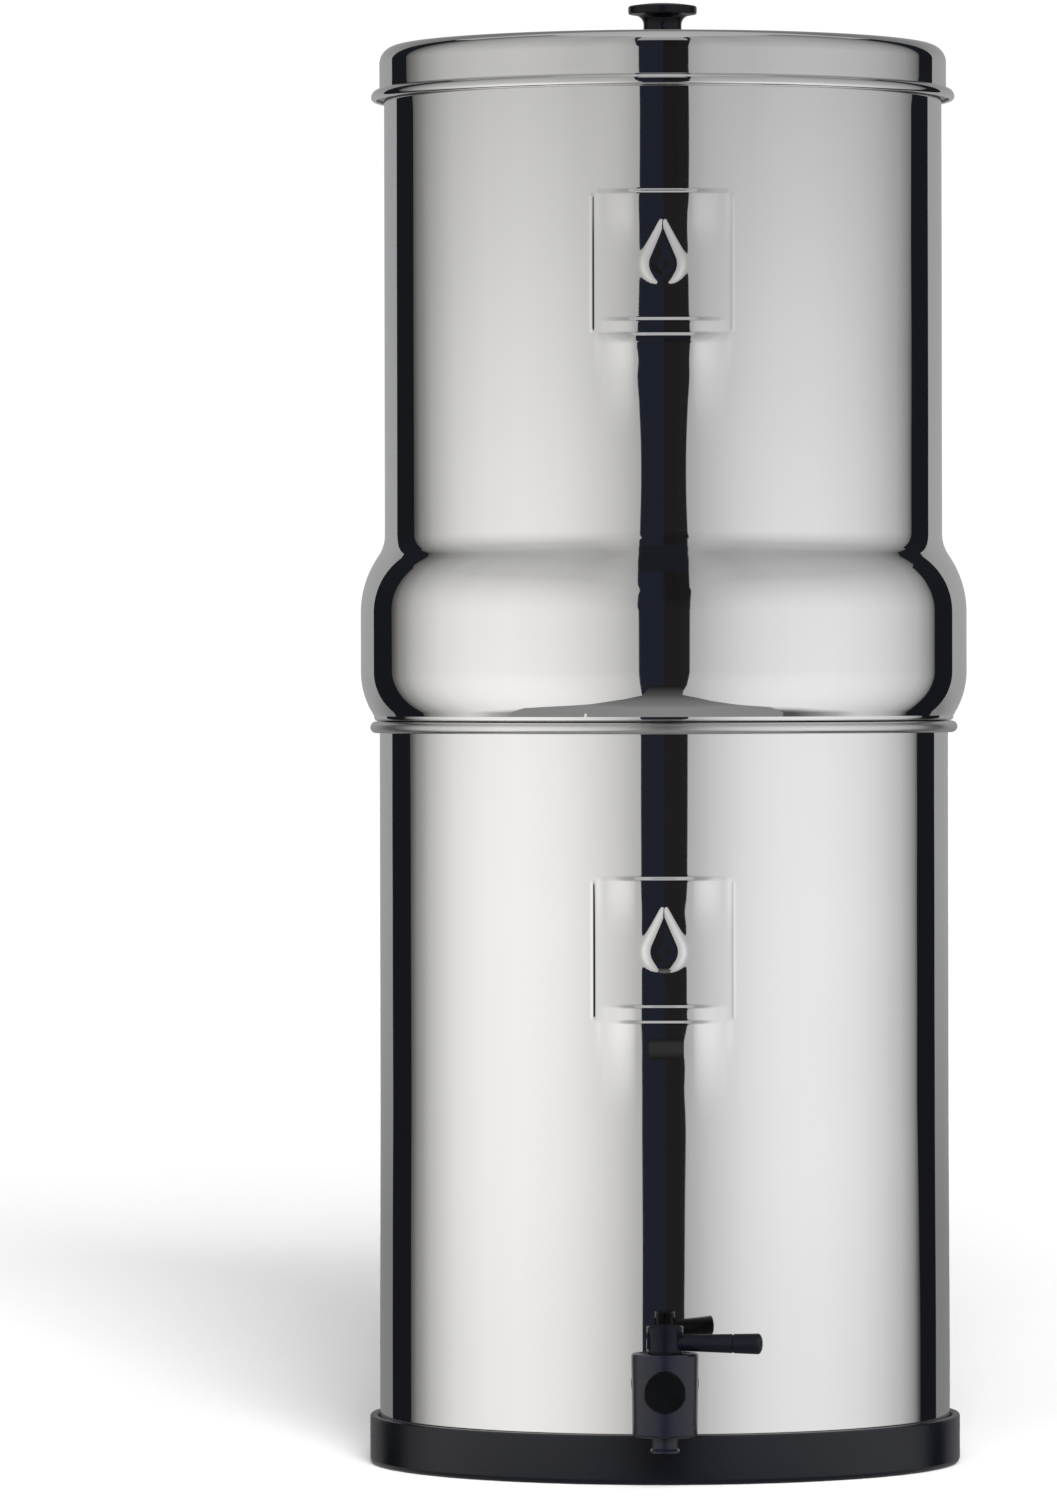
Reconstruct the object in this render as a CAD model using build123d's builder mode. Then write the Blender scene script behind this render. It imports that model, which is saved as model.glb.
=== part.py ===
"""Gravity water filter with tap.

Two polished steel chambers stand one on the other.  Water is poured into the upper chamber, seeps
through four ceramic candles, drips through their hollow stems into the lower chamber and is drawn
off at a quarter-turn tap.  A loose lid closes the top, a soft ring carries the bottom.

Frame: +Z up, origin at the centre of the base ring's foot, the tap points along -Y.  Millimetres.
"""

import math
import os

from build123d import *

os.makedirs("parts", exist_ok=True)

# ---------------------------------------------------------------- driving dimensions
SHEET = 0.8  # steel sheet thickness

# base ring
RING_R = 111.9
RING_H = 18.5
RING_BORE_R = 108.2
RING_FLOOR_R = 97.0  # inner radius of the floor flange
RING_FLOOR = 4.0  # floor flange thickness

# lower chamber
LOW_R = 107.8  # outer radius of the wall from LOW_TAPER_Z up
LOW_FOOT_R = 108.1  # outer radius of the wall near the foot
LOW_TAPER_Z = (52.0, 130.0)  # the wall narrows a little between these heights
LOW_BOTTOM_Z = RING_FLOOR
RIM_R = 2.45  # radius of the rolled rim's section
RIM_Z = 278.95  # height of the rim's centre
RIM_C = 108.95  # radius of the rim's centre circle

# upper chamber
UP_R = 105.7  # outer radius above the bulge
BULGE_R = 114.95
SHOULDER_Z = 281.75  # underside of the shoulder that rests on the lower rim
LIP_R = 109.9  # outer radius of the narrow lip between the shoulder and the bulge
NEST_R = 105.7  # outer radius of the spigot that drops into the lower chamber
UP_BOTTOM_Z = 266.0
UP_TOP_Z = 534.2

# lid
LID_R = 107.45
LID_TOP_Z = 537.0
LID_CORNER = 6.6
LID_BEAD_R = 110.6
LID_EDGE_Z = 516.2

# knob
KNOB_R = 13.0
KNOB_NECK_R = 7.2
KNOB_TOP_Z = 553.4
KNOB_CROWN = ((KNOB_R - 0.45) ** 2 + 1.15**2) / (2 * 1.15)  # radius of the domed top

# pressed panel on the front of each chamber
PANEL_W = 50.7
PANEL_H = 53.0
PANEL_UP_Z = 451.7
PANEL_LOW_Z = 198.0
RIDGE_W = 2.2
RIDGE_H = 0.9

# filter candles
CANDLE_PCR = 55.0  # pitch circle radius
CANDLE_R = 25.0
CANDLE_LEN = 168.0
CANDLE_WALL = 7.0
CANDLE_BASE_R = 27.0
CANDLE_BASE_H = 14.0
CORE_R = 16.0
CORE_H = 128.0
STEM_R = 6.0
STEM_LEN = 34.0
STEM_BORE_R = 3.0
WASHER_T = 3.0
FLOOR_IN_Z = UP_BOTTOM_Z + SHEET
SEAT_Z = FLOOR_IN_Z + WASHER_T  # underside of a candle's base

# tap
TAP_Z = 38.0  # height of the shank's axis
TAP_AXIS = LOW_FOOT_R + 43.0  # distance of the barrel's axis from the chamber's axis
BARREL_TOP_R = 12.3
BARREL_FOOT_R = 11.9
BARREL_TOP_Z = 51.65
BARREL_FOOT_Z = 21.2
SPOUT_Z = 15.3
SPOUT_R = 4.9
SPOUT_LIP_R = 5.45
SPOUT_BORE_R = 3.8
PLUG_R = 6.95
PLUG_BORE_R = 7.0
PLUG_SEAT_Z = 27.5
COUNTERBORE_R = 9.5
COUNTERBORE_Z = 48.65
STEM_TOP_Z = 58.5
TAP_STEM_R = 4.0
FRONT_R = 7.8  # radius of the boss and its cap on the barrel's front
FRONT_FACE = TAP_AXIS + 12.2  # distance of the cap's face from the chamber's axis
FRONT_CAP_T = 1.6
SHANK_R = 7.9
NECK_R = 8.0
FLANGE_R = 12.5
INLET_R = 4.5
SHANK_END = 84.0  # distance of the shank's inner end from the chamber's axis
COLLAR_TOP_Z = 61.65
COLLAR_FOOT_Z = BARREL_TOP_Z + 0.15
LEVER_Z = 55.45
LEVER_REACH = 36.3
LEVER_ROOT_R = 2.8
LEVER_END_R = 3.85
LEVER_ANGLE = -12.0  # direction of the handle at rest, from +X; it opens clockwise to -90, closes to 0
PORT_ANGLE = 180.0 + LEVER_ANGLE  # direction of the plug's port at rest, in line with the inlet when the handle is at -90


# ---------------------------------------------------------------- profile helpers
def offset_points(points, distance):
    """The corner points of an open polyline shifted sideways: to the left of its direction if distance is positive."""
    out = []
    n = len(points)

    def normal(a, b):
        dx, dy = b[0] - a[0], b[1] - a[1]
        length = math.hypot(dx, dy)
        return (-dy / length, dx / length)

    for i, p in enumerate(points):
        if i == 0:
            nx, ny = normal(points[0], points[1])
            out.append((p[0] + nx * distance, p[1] + ny * distance))
        elif i == n - 1:
            nx, ny = normal(points[-2], points[-1])
            out.append((p[0] + nx * distance, p[1] + ny * distance))
        else:
            a = normal(points[i - 1], p)
            b = normal(p, points[i + 1])
            k = distance / (1 + a[0] * b[0] + a[1] * b[1])
            out.append((p[0] + (a[0] + b[0]) * k, p[1] + (a[1] + b[1]) * k))
    return out


def corner_radii(points, radii, distance):
    """Fillet radii of the offset polyline, so that both sides of the sheet stay parallel round each corner."""
    out = []
    for i, r in enumerate(radii, start=1):
        ax, ay = points[i][0] - points[i - 1][0], points[i][1] - points[i - 1][1]
        bx, by = points[i + 1][0] - points[i][0], points[i + 1][1] - points[i][1]
        left_turn = ax * by - ay * bx > 0
        out.append(r - distance if left_turn else r + distance)
    return out


def sheet_section(points, radii, thickness):
    """Closed section of bent sheet from its mid line's corners and its mid-line bend radii."""
    half = thickness / 2
    left = offset_points(points, half)
    right = offset_points(points, -half)
    with BuildSketch() as section:
        with BuildLine():
            FilletPolyline(*left, radius=corner_radii(points, radii, half))
            FilletPolyline(*right, radius=corner_radii(points, radii, -half))
            Line(left[0], right[0])
            Line(left[-1], right[-1])
        make_face()
    return section.sketch


def raised_panel(radius, height):
    """Pressed panel for the front of a chamber: a square frame, a plain rib and a drop, as a thin curved solid."""
    with BuildPart() as panel:
        with BuildSketch(Plane.XZ.offset(radius - 12)):
            with Locations((0, height)):
                RectangleRounded(PANEL_W + RIDGE_W, PANEL_H + RIDGE_W, 2.4)
                RectangleRounded(
                    PANEL_W - RIDGE_W, PANEL_H - RIDGE_W, 1.2, mode=Mode.SUBTRACT
                )
            with Locations((0, height - PANEL_H / 2 + 6.4)):
                SlotOverall(PANEL_W - 6.0, RIDGE_W)
            with BuildLine():
                tip = (0, height + 16.5)
                low = height - 1.0
                left = ThreePointArc((-8.2, low), (0, low - 8.2), (8.2, low))
                Spline(
                    (8.2, low),
                    (4.0, height + 8.6),
                    tip,
                    tangents=[(0, 1), (-0.25, 1)],
                )
                Spline(
                    (-8.2, low),
                    (-4.0, height + 8.6),
                    tip,
                    tangents=[(0, 1), (0.25, 1)],
                )
            make_face()
        extrude(amount=20)
        with BuildSketch(Plane.XY.offset(height - 40), mode=Mode.PRIVATE) as band:
            Circle(radius + RIDGE_H)
            Circle(radius - SHEET / 2, mode=Mode.SUBTRACT)
        extrude(band.sketch, amount=80, mode=Mode.INTERSECT)
    return panel.part


# ---------------------------------------------------------------- base ring
with BuildPart() as base_ring:
    with BuildSketch(Plane.XZ):
        with BuildLine():
            Polyline(
                (RING_FLOOR_R, 0),
                (RING_R - 2.0, 0),
                (RING_R - 1.1, 0.25),
                (RING_R - 0.35, 0.9),
                (RING_R, 2.0),
                (RING_R, RING_H - 0.8),
                (RING_R - 0.25, RING_H - 0.2),
                (RING_R - 0.9, RING_H),
                (RING_BORE_R + 1.4, RING_H),
                (RING_BORE_R + 0.9, RING_H - 0.5),
                (RING_BORE_R, RING_H - 3.0),
                (RING_BORE_R, RING_FLOOR),
                (RING_FLOOR_R, RING_FLOOR),
                close=True,
            )
        make_face()
    revolve(axis=Axis.Z)
base_ring.part.label = "base_ring"

# ---------------------------------------------------------------- lower chamber
low_mid_r = LOW_R - SHEET / 2
low_foot_mid_r = LOW_FOOT_R - SHEET / 2
lower_chamber_section = sheet_section(
    [
        (0, 10.4),
        (86, 10.4),
        (91, LOW_BOTTOM_Z + SHEET / 2),
        (low_foot_mid_r, LOW_BOTTOM_Z + SHEET / 2),
        (low_foot_mid_r, LOW_TAPER_Z[0]),
        (low_mid_r, LOW_TAPER_Z[1]),
        (low_mid_r, RIM_Z),
    ],
    [3.0, 3.0, 4.0, 3000.0, 3000.0],
    SHEET,
)
lower_chamber_panel = raised_panel(LOW_R, PANEL_LOW_Z)
with BuildPart() as lower_chamber:
    with BuildSketch(Plane.XZ):
        add(lower_chamber_section)
    revolve(axis=Axis.Z)
    # rolled rim, closed on itself
    with BuildSketch(Plane.XZ):
        with Locations((RIM_C, RIM_Z)):
            Circle(RIM_R)
            Circle(RIM_R - SHEET, mode=Mode.SUBTRACT)
    revolve(axis=Axis.Z)
    add(lower_chamber_panel)
    # tap hole
    with BuildSketch(Plane.XZ.offset(LOW_R - 20)):
        with Locations((0, TAP_Z)):
            Circle(SHANK_R + 0.25)
    extrude(amount=40, mode=Mode.SUBTRACT)
lower_chamber.part.label = "lower_chamber"

# ---------------------------------------------------------------- upper chamber
up_mid_r = UP_R - SHEET / 2
bulge_mid_r = BULGE_R - SHEET / 2
nest_mid_r = NEST_R - SHEET / 2
upper_chamber_section = sheet_section(
    [
        (0, UP_BOTTOM_Z + SHEET / 2),
        (nest_mid_r, UP_BOTTOM_Z + SHEET / 2),
        (nest_mid_r, SHOULDER_Z + SHEET / 2),
        (LIP_R - SHEET / 2, SHOULDER_Z + SHEET / 2),
        (LIP_R - SHEET / 2, SHOULDER_Z + SHEET / 2 + 2.4),
        (LIP_R - SHEET / 2 + 1.05, SHOULDER_Z + SHEET / 2 + 3.45),
        (bulge_mid_r, 294.8),
        (bulge_mid_r, 333.4),
        (up_mid_r, 347.6),
        (up_mid_r, UP_TOP_Z - SHEET / 2),
        (102.3, UP_TOP_Z - SHEET / 2),
        (102.3, UP_TOP_Z - 3.4),
    ],
    [5.0, 1.0, 0.75, 0.5, 4.0, 44.0, 37.0, 14.5, 1.4, 1.2],
    SHEET,
)
upper_chamber_panel = raised_panel(UP_R, PANEL_UP_Z)
with BuildPart() as upper_chamber:
    with BuildSketch(Plane.XZ):
        add(upper_chamber_section)
    revolve(axis=Axis.Z)
    add(upper_chamber_panel)
    # candle holes
    with BuildSketch(Plane.XY.offset(UP_BOTTOM_Z - 5)):
        with PolarLocations(CANDLE_PCR, 4, start_angle=45):
            Circle(STEM_R + 0.3)
    extrude(amount=10, mode=Mode.SUBTRACT)
upper_chamber.part.label = "upper_chamber"

# ---------------------------------------------------------------- lid
lid_mid_r = LID_R - SHEET / 2
bead_mid_r = LID_BEAD_R - SHEET / 2
lid_section = sheet_section(
    [
        (0, LID_TOP_Z - SHEET / 2),
        (lid_mid_r, LID_TOP_Z - SHEET / 2),
        (lid_mid_r, LID_EDGE_Z + 3.9),
        (bead_mid_r, LID_EDGE_Z + 3.9),
        (bead_mid_r, LID_EDGE_Z + SHEET / 2),
        (bead_mid_r - 1.2, LID_EDGE_Z + SHEET / 2),
    ],
    [LID_CORNER - SHEET / 2, 0.6, 2.5, 0.95],
    SHEET,
)
with BuildPart() as lid:
    with BuildSketch(Plane.XZ):
        add(lid_section)
    revolve(axis=Axis.Z)
    with BuildSketch(Plane.XY.offset(LID_TOP_Z - 5)):
        Circle(2.75)
    extrude(amount=10, mode=Mode.SUBTRACT)
lid.part.label = "lid"

# ---------------------------------------------------------------- lid knob, its screw and washer
with BuildPart() as lid_knob:
    with BuildSketch(Plane.XZ):
        with BuildLine():
            Polyline(
                (0, LID_TOP_Z),
                (KNOB_NECK_R + 0.7, LID_TOP_Z),
                (KNOB_NECK_R + 0.1, LID_TOP_Z + 1.2),
                (KNOB_NECK_R, LID_TOP_Z + 8.2),
            )
            JernArc((KNOB_NECK_R, LID_TOP_Z + 8.2), (0, 1), 3.6, -85)
            under = (
                KNOB_NECK_R + 3.6 * (1 - math.cos(math.radians(85))),
                LID_TOP_Z + 8.2 + 3.6 * math.sin(math.radians(85)),
            )
            Polyline(
                under,
                (KNOB_R - 0.4, KNOB_TOP_Z - 4.25),
                (KNOB_R, KNOB_TOP_Z - 3.85),
                (KNOB_R, KNOB_TOP_Z - 1.6),
                (KNOB_R - 0.45, KNOB_TOP_Z - 1.15),
            )
            CenterArc(
                (0, KNOB_TOP_Z - KNOB_CROWN),
                KNOB_CROWN,
                90,
                -math.degrees(math.asin((KNOB_R - 0.45) / KNOB_CROWN)),
            )
            Line((0, KNOB_TOP_Z), (0, LID_TOP_Z))
        make_face()
    revolve(axis=Axis.Z)
    # blind hole for the screw
    with BuildSketch(Plane.XY.offset(LID_TOP_Z - 1)):
        Circle(2.52)
    extrude(amount=11.2, mode=Mode.SUBTRACT)
lid_knob.part.label = "lid_knob"

with BuildPart() as knob_washer:
    with BuildSketch(Plane.XY.offset(LID_TOP_Z - SHEET - 1.0)):
        Circle(7.0)
        Circle(2.65, mode=Mode.SUBTRACT)
    extrude(amount=1.0)
knob_washer.part.label = "knob_washer"

with BuildPart() as knob_screw:
    with BuildSketch(Plane.XY.offset(LID_TOP_Z - SHEET - 1.0 - 3.0)):
        Circle(4.6)
    extrude(amount=3.0)
    fillet(knob_screw.edges().group_by(Axis.Z)[0], 1.6)
    with BuildSketch(Plane.XY.offset(LID_TOP_Z - SHEET - 1.0)):
        Circle(2.5)
    extrude(amount=11.0)
    # cross recess
    with BuildSketch(Plane.XY.offset(LID_TOP_Z - SHEET - 4.0)):
        Rectangle(4.6, 1.0)
        Rectangle(1.0, 4.6)
    extrude(amount=1.5, mode=Mode.SUBTRACT)
knob_screw.part.label = "knob_screw"

# ---------------------------------------------------------------- filter candles
candle_spots = [
    (
        CANDLE_PCR * math.cos(math.radians(45 + 90 * i)),
        CANDLE_PCR * math.sin(math.radians(45 + 90 * i)),
    )
    for i in range(4)
]
SHELL_FOOT_Z = SEAT_Z + 4.0
SHELL_TOP_Z = SHELL_FOOT_Z + CANDLE_LEN
dome_z = SHELL_TOP_Z - CANDLE_R

candle_shells, candle_cores, candle_bases = [], [], []
for number, (cx, cy) in enumerate(candle_spots, start=1):
    centre = Plane(origin=(cx, cy, 0), x_dir=(1, 0, 0), z_dir=(0, -1, 0))
    axis = Axis((cx, cy, 0), (0, 0, 1))
    inner_r = CANDLE_R - CANDLE_WALL

    with BuildPart() as candle_shell:
        with BuildSketch(centre):
            with BuildLine():
                Polyline((inner_r, dome_z), (inner_r, SHELL_FOOT_Z), (CANDLE_R, SHELL_FOOT_Z), (CANDLE_R, dome_z))
                CenterArc((0, dome_z), CANDLE_R, 0, 90)
                Line((0, SHELL_TOP_Z), (0, dome_z + inner_r))
                CenterArc((0, dome_z), inner_r, 0, 90)
            make_face()
        revolve(axis=axis)
    candle_shell.part.label = f"candle_{number}_ceramic_shell"
    candle_shells.append(candle_shell.part)

    with BuildPart() as candle_core:
        with BuildSketch(Plane.XY.offset(SHELL_FOOT_Z)):
            with Locations((cx, cy)):
                Circle(CORE_R)
                Circle(STEM_BORE_R, mode=Mode.SUBTRACT)
        extrude(amount=CORE_H)
        chamfer(candle_core.edges().group_by(Axis.Z)[-1], 0.8)
    candle_core.part.label = f"candle_{number}_carbon_core"
    candle_cores.append(candle_core.part)

    with BuildPart() as candle_base:
        with BuildSketch(centre):
            Polygon(
                (STEM_BORE_R, SEAT_Z - STEM_LEN),
                (STEM_R - 0.8, SEAT_Z - STEM_LEN),
                (STEM_R, SEAT_Z - STEM_LEN + 0.8),
                (STEM_R, SEAT_Z),
                (CANDLE_BASE_R - 1.2, SEAT_Z),
                (CANDLE_BASE_R, SEAT_Z + 1.2),
                (CANDLE_BASE_R, SEAT_Z + CANDLE_BASE_H - 1.0),
                (CANDLE_BASE_R - 1.0, SEAT_Z + CANDLE_BASE_H),
                (CANDLE_R + 0.05, SEAT_Z + CANDLE_BASE_H),
                (CANDLE_R + 0.05, SEAT_Z + 4.0),
                (STEM_BORE_R, SEAT_Z + 4.0),
                align=None,
            )
        revolve(axis=axis)
    candle_base.part.label = f"candle_{number}_base"
    candle_bases.append(candle_base.part)

with BuildPart() as candle_washers:
    with BuildSketch(Plane.XY.offset(FLOOR_IN_Z)):
        with Locations(*candle_spots):
            Circle(14.0)
            Circle(STEM_R + 0.1, mode=Mode.SUBTRACT)
    extrude(amount=WASHER_T)
candle_washers.part.label = "candle_washers"

NUT_TOP_Z = UP_BOTTOM_Z
NUT_H = 11.0
with BuildPart() as wing_nuts:
    with BuildSketch(Plane.XY.offset(NUT_TOP_Z - NUT_H)):
        with Locations(*candle_spots):
            Circle(9.5)
    extrude(amount=NUT_H)
    with BuildSketch(Plane.XY.offset(NUT_TOP_Z - 2.2)):
        with Locations(*candle_spots):
            Circle(13.0)
    extrude(amount=2.2)
    for cx, cy in candle_spots:
        with BuildSketch(Plane(origin=(cx, cy + 1.6, 0), x_dir=(1, 0, 0), z_dir=(0, -1, 0))):
            with BuildLine():
                Polyline((0, NUT_TOP_Z - 2.2), (12.5, NUT_TOP_Z - 2.2))
                Spline(
                    (12.5, NUT_TOP_Z - 2.2),
                    (18.6, NUT_TOP_Z - 6.0),
                    (19.0, NUT_TOP_Z - 12.5),
                    (14.5, NUT_TOP_Z - 14.5),
                    (9.0, NUT_TOP_Z - NUT_H + 0.4),
                )
                Polyline(
                    (9.0, NUT_TOP_Z - NUT_H + 0.4),
                    (0, NUT_TOP_Z - NUT_H + 0.4),
                    (0, NUT_TOP_Z - 2.2),
                )
            make_face()
            mirror(about=Plane.YZ)
        extrude(amount=3.2)
    with BuildSketch(Plane.XY.offset(NUT_TOP_Z - 30)):
        with Locations(*candle_spots):
            Circle(STEM_R + 0.05)
    extrude(amount=40, mode=Mode.SUBTRACT)
wing_nuts.part.label = "candle_wing_nuts"

# ---------------------------------------------------------------- tap
shank_plane = Plane.XZ  # its normal points along -Y, so offsets are distances in front of the chamber's axis

with BuildPart() as tap_body:
    # horizontal neck, flange and threaded shank
    with BuildSketch(shank_plane.offset(SHANK_END)):
        with Locations((0, TAP_Z)):
            Circle(SHANK_R)
    extrude(amount=TAP_AXIS - SHANK_END)
    with BuildSketch(shank_plane.offset(LOW_FOOT_R + 2.5)):
        with Locations((0, TAP_Z)):
            Circle(FLANGE_R)
    extrude(amount=2.8)
    with BuildSketch(shank_plane.offset(LOW_FOOT_R + 5.3)):
        with Locations((0, TAP_Z)):
            Circle(NECK_R + 1.6)
    extrude(amount=TAP_AXIS - LOW_FOOT_R - 5.3, taper=2.2)
    # barrel and spout
    with BuildSketch(Plane(origin=(0, -TAP_AXIS, 0), x_dir=(1, 0, 0), z_dir=(0, -1, 0))):
        with BuildLine():
            Polyline(
                (0, BARREL_TOP_Z),
                (BARREL_TOP_R - 0.9, BARREL_TOP_Z),
                (BARREL_TOP_R - 0.25, BARREL_TOP_Z - 0.25),
                (BARREL_TOP_R, BARREL_TOP_Z - 0.9),
                (BARREL_FOOT_R, BARREL_FOOT_Z + 1.0),
                (BARREL_FOOT_R - 0.3, BARREL_FOOT_Z + 0.3),
                (BARREL_FOOT_R - 1.0, BARREL_FOOT_Z),
                (SPOUT_R + 0.6, BARREL_FOOT_Z),
                (SPOUT_R, BARREL_FOOT_Z - 0.6),
                (SPOUT_R, SPOUT_Z + 1.6),
                (SPOUT_LIP_R, SPOUT_Z + 0.7),
                (SPOUT_LIP_R, SPOUT_Z),
                (0, SPOUT_Z),
                close=True,
            )
        make_face()
    revolve(axis=Axis((0, -TAP_AXIS, 0), (0, 0, 1)))
    # boss on the front, cut flat for the cap
    with BuildSketch(shank_plane.offset(TAP_AXIS)):
        with Locations((0, TAP_Z)):
            Circle(FRONT_R)
    extrude(amount=FRONT_FACE - FRONT_CAP_T - TAP_AXIS)
    with BuildSketch(shank_plane.offset(FRONT_FACE - FRONT_CAP_T)):
        with Locations((0, TAP_Z)):
            Circle(FRONT_R + 0.03)
    extrude(amount=5, mode=Mode.SUBTRACT)
    # valve chamber, seat for the bonnet, outlet
    with BuildSketch(Plane.XY.offset(PLUG_SEAT_Z)):
        with Locations((0, -TAP_AXIS)):
            Circle(PLUG_BORE_R)
    extrude(amount=BARREL_TOP_Z - PLUG_SEAT_Z + 1, mode=Mode.SUBTRACT)
    with BuildSketch(Plane.XY.offset(COUNTERBORE_Z)):
        with Locations((0, -TAP_AXIS)):
            Circle(COUNTERBORE_R)
    extrude(amount=BARREL_TOP_Z - COUNTERBORE_Z + 1, mode=Mode.SUBTRACT)
    with BuildSketch(Plane.XY.offset(SPOUT_Z - 1)):
        with Locations((0, -TAP_AXIS)):
            Circle(SPOUT_BORE_R)
    extrude(amount=PLUG_SEAT_Z - SPOUT_Z + 2, mode=Mode.SUBTRACT)
    # waterway, drilled from the front right through the shank
    with BuildSketch(shank_plane.offset(SHANK_END - 1)):
        with Locations((0, TAP_Z)):
            Circle(INLET_R)
    extrude(amount=FRONT_FACE - SHANK_END + 2, mode=Mode.SUBTRACT)
tap_body.part.label = "tap_body"

with BuildPart() as tap_front_cap:
    with BuildSketch(shank_plane.offset(FRONT_FACE - FRONT_CAP_T)):
        with Locations((0, TAP_Z)):
            Circle(FRONT_R)
    extrude(amount=FRONT_CAP_T)
    chamfer(tap_front_cap.edges().group_by(Axis.Y)[0], 0.4)
    with BuildSketch(shank_plane.offset(TAP_AXIS + PLUG_BORE_R + 0.4)):
        with Locations((0, TAP_Z)):
            Circle(INLET_R - 0.03)
    extrude(amount=FRONT_FACE - FRONT_CAP_T - TAP_AXIS - PLUG_BORE_R - 0.4)
tap_front_cap.part.label = "tap_front_cap"

with BuildPart() as tap_outer_washer:
    with BuildSketch(shank_plane.offset(LOW_FOOT_R - 5)):
        with Locations((0, TAP_Z)):
            Circle(FLANGE_R)
            Circle(SHANK_R + 0.05, mode=Mode.SUBTRACT)
    extrude(amount=7.5)
    with BuildSketch(Plane.XY.offset(TAP_Z - 30), mode=Mode.PRIVATE) as wall_disc:
        Circle(LOW_FOOT_R + 0.03)
    extrude(wall_disc.sketch, amount=60, mode=Mode.SUBTRACT)
tap_outer_washer.part.label = "tap_outer_washer"

with BuildPart() as tap_inner_washer:
    with BuildSketch(shank_plane.offset(LOW_FOOT_R - SHEET - 4.0)):
        with Locations((0, TAP_Z)):
            Circle(12.0)
            Circle(SHANK_R + 0.05, mode=Mode.SUBTRACT)
    extrude(amount=5)
    with BuildSketch(Plane.XY.offset(TAP_Z - 30), mode=Mode.PRIVATE) as bore_disc:
        Circle(LOW_FOOT_R - SHEET - 0.03)
    extrude(bore_disc.sketch, amount=60, mode=Mode.INTERSECT)
tap_inner_washer.part.label = "tap_inner_washer"

with BuildPart() as tap_lock_nut:
    with BuildSketch(shank_plane.offset(LOW_FOOT_R - SHEET - 4.0 - 8.0)):
        with Locations((0, TAP_Z)):
            RegularPolygon(radius=12.6, side_count=6, major_radius=False)
            Circle(SHANK_R + 0.05, mode=Mode.SUBTRACT)
    extrude(amount=8.0)
    chamfer(tap_lock_nut.edges().filter_by(GeomType.LINE).group_by(Axis.Y)[-1], 0.9)
tap_lock_nut.part.label = "tap_lock_nut"

tap_plane = Plane(origin=(0, -TAP_AXIS, 0), x_dir=(1, 0, 0), z_dir=(0, -1, 0))
tap_axis = Axis((0, -TAP_AXIS, 0), (0, 0, 1))

with BuildPart() as tap_bonnet:
    with BuildSketch(tap_plane):
        Polygon(
            (5.05, COUNTERBORE_Z),
            (COUNTERBORE_R, COUNTERBORE_Z),
            (COUNTERBORE_R, BARREL_TOP_Z - 0.2),
            (5.05, BARREL_TOP_Z - 0.2),
            align=None,
        )
    revolve(axis=tap_axis)
tap_bonnet.part.label = "tap_bonnet"

# the rotating plug: port across, drain down, two ring grooves, stem with two flats
with BuildPart() as tap_valve_plug:
    with BuildSketch(tap_plane):
        Polygon(
            (0, PLUG_SEAT_Z + 0.1),
            (PLUG_R, PLUG_SEAT_Z + 0.1),
            (PLUG_R, 29.6),
            (5.0, 29.6),
            (5.0, 31.6),
            (PLUG_R, 31.6),
            (PLUG_R, 44.8),
            (5.0, 44.8),
            (5.0, 46.8),
            (PLUG_R, 46.8),
            (PLUG_R, COUNTERBORE_Z - 0.1),
            (5.0, COUNTERBORE_Z - 0.1),
            (5.0, BARREL_TOP_Z - 0.1),
            (TAP_STEM_R, BARREL_TOP_Z - 0.1),
            (TAP_STEM_R, STEM_TOP_Z),
            (0, STEM_TOP_Z),
            align=None,
        )
    revolve(axis=tap_axis)
    with BuildSketch(Plane.XY.offset(PLUG_SEAT_Z)):
        with Locations((0, -TAP_AXIS)):
            Circle(SPOUT_BORE_R)
    extrude(amount=TAP_Z + 3.0 - PLUG_SEAT_Z, mode=Mode.SUBTRACT)
    port_dir = (math.cos(math.radians(PORT_ANGLE)), math.sin(math.radians(PORT_ANGLE)), 0)
    with BuildSketch(Plane(origin=(0, -TAP_AXIS, TAP_Z), x_dir=(0, 0, 1), z_dir=port_dir)):
        Circle(INLET_R - 0.5)
    extrude(amount=12, mode=Mode.SUBTRACT)
    # flats on the stem
    with BuildSketch(Plane.XY.offset(BARREL_TOP_Z + 1.2)):
        with Locations((5.2, -TAP_AXIS), (-5.2, -TAP_AXIS)):
            Rectangle(4.0, 12.0)
    extrude(amount=20, mode=Mode.SUBTRACT)
tap_valve_plug.part.label = "tap_valve_plug"

with BuildPart() as tap_o_rings:
    with BuildSketch(tap_plane):
        with Locations((5.97, 30.6), (5.97, 45.8)):
            Circle(0.93)
    revolve(axis=tap_axis)
tap_o_rings.part.label = "tap_o_rings"

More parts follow.
